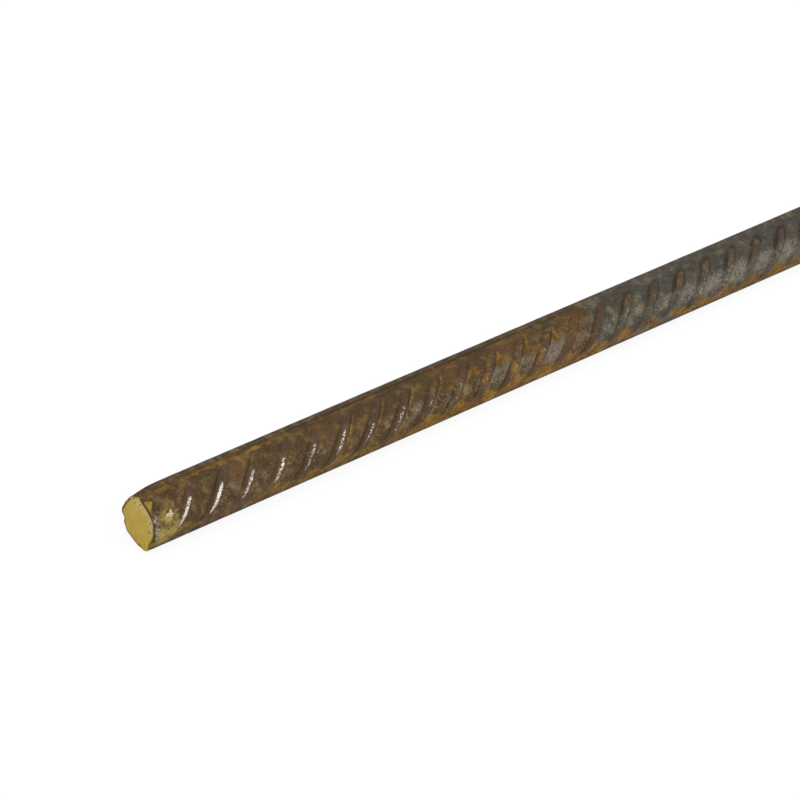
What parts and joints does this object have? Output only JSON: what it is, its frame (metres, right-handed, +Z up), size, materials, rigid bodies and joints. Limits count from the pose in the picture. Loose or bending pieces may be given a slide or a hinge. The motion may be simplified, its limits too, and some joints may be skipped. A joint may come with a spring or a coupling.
{
  "type": "reinforcing bar",
  "caption": "Straight length of round ribbed steel bar for concrete, weathered brown and grey, sheared at both ends, one end painted yellow.",
  "frame": {"origin": "on the floor under the middle of the bar's length", "axes": "+X along the bar away from the painted end, +Z up"},
  "size_m": [0.6096, 0.013, 0.0123],
  "materials": {
    "weathered_steel": "hot-rolled mill scale with brown rust, worn bright on the first rib crests, yellow paint on one sheared end"
  },
  "bodies": {
    "root": {"reinforcing_bar": "weathered_steel"}
  },
  "joints": []
}
